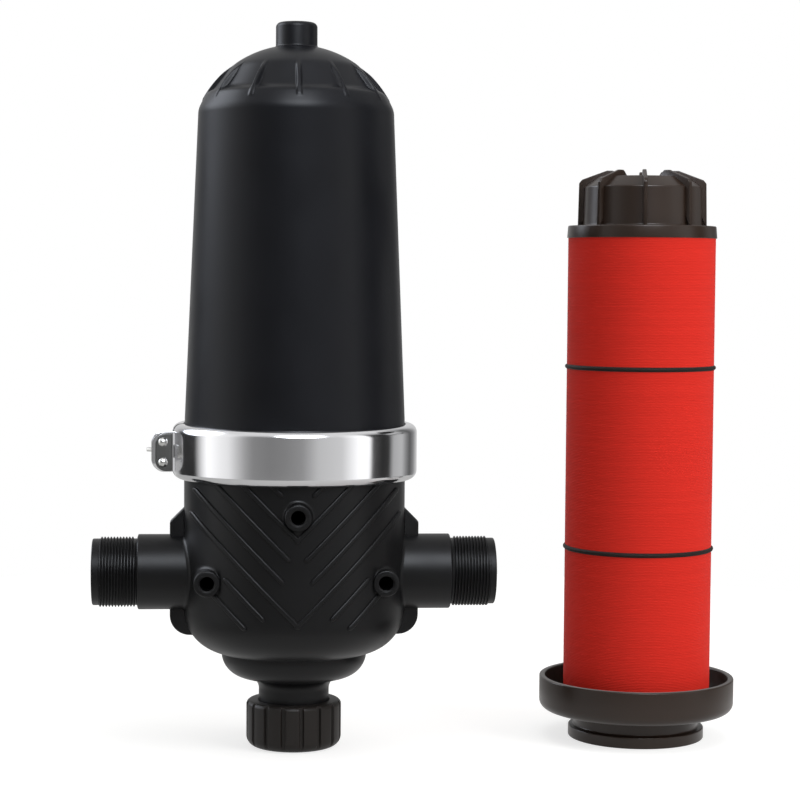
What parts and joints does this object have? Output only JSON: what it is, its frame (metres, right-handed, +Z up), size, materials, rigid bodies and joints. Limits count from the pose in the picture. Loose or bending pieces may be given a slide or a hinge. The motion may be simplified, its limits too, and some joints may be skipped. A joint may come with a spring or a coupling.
{
  "type": "irrigation disc filter",
  "caption": "Black plastic in-line irrigation disc filter with a steel band clamp, threaded side ports and a drain cap, with its red disc cartridge standing beside it.",
  "frame": {"origin": "on the housing's axis, on the floor under the drain cap", "axes": "+Z up along the housing's axis, +X along the ports towards the right-hand port, pressure taps facing -Y"},
  "size_m": [0.5585, 0.214, 0.616],
  "materials": {
    "body_plastic": "moulded, satin",
    "cover_plastic": "moulded, satin",
    "cap_plastic": "moulded, satin",
    "band_steel": "polished stainless steel",
    "lug_steel": "dark grey coated",
    "rivet_steel": "bright",
    "seal_rubber": "matt",
    "ring_rubber": "satin",
    "cartridge_plastic": "moulded, satin",
    "disc_plastic": "fine grooved edges"
  },
  "bodies": {
    "filter": {"filter_body": "body_plastic", "cover": "cover_plastic", "cover_seal": "seal_rubber", "seat_seal": "seal_rubber", "clamp_band": "band_steel", "front_lug": "lug_steel", "rear_lug": "lug_steel", "front_rivets": "rivet_steel", "rear_rivets": "rivet_steel", "clamp_bolt": "rivet_steel", "cartridge_base": "cartridge_plastic", "spine": "cartridge_plastic", "lower_discs": "disc_plastic", "middle_discs": "disc_plastic", "upper_discs": "disc_plastic", "lower_ring": "ring_rubber", "upper_ring": "ring_rubber"},
    "cap_gasket": {"drain_gasket": "seal_rubber"},
    "cap": {"drain_cap": "cap_plastic"},
    "nut_washer": {"clamp_washer": "rivet_steel"},
    "nut": {"wing_nut": "rivet_steel"},
    "knob_seal": {"top_seal": "seal_rubber"},
    "knob": {"cartridge_knob": "cartridge_plastic"}
  },
  "joints": [
    {"name": "drain_gasket_travel", "type": "slide", "parent": "filter", "child": "cap_gasket", "axis": [0, 0, -1], "range_m": [0, 0.01847]},
    {"name": "drain_cap_turn", "type": "hinge", "parent": "cap_gasket", "child": "cap", "pos_m": [0, 0, 0.02], "axis": [0, 0, -1], "range_deg": [0, 2880]},
    {"name": "clamp_washer_travel", "type": "slide", "parent": "filter", "child": "nut_washer", "axis": [-0.1392, 0.9903, 0], "range_m": [0, 0.012]},
    {"name": "wing_nut_turn", "type": "hinge", "parent": "nut_washer", "child": "nut", "pos_m": [-0.11249, -0.01581, 0.2541], "axis": [-0.1392, 0.9903, 0], "range_deg": [0, 4320]},
    {"name": "top_seal_travel", "type": "slide", "parent": "filter", "child": "knob_seal", "axis": [0, 0, 1], "range_m": [0, 0.028]},
    {"name": "knob_turn", "type": "hinge", "parent": "knob_seal", "child": "knob", "pos_m": [0.302, 0.025, 0.46], "axis": [0, 0, 1], "range_deg": [0, 2520]}
  ],
  "couplings": [
    {"joint": "drain_gasket_travel", "follows": "drain_cap_turn", "m_per_rad": 0.00036749},
    {"joint": "clamp_washer_travel", "follows": "wing_nut_turn", "m_per_rad": 0.00015915},
    {"joint": "top_seal_travel", "follows": "knob_turn", "m_per_rad": 0.00063662}
  ]
}
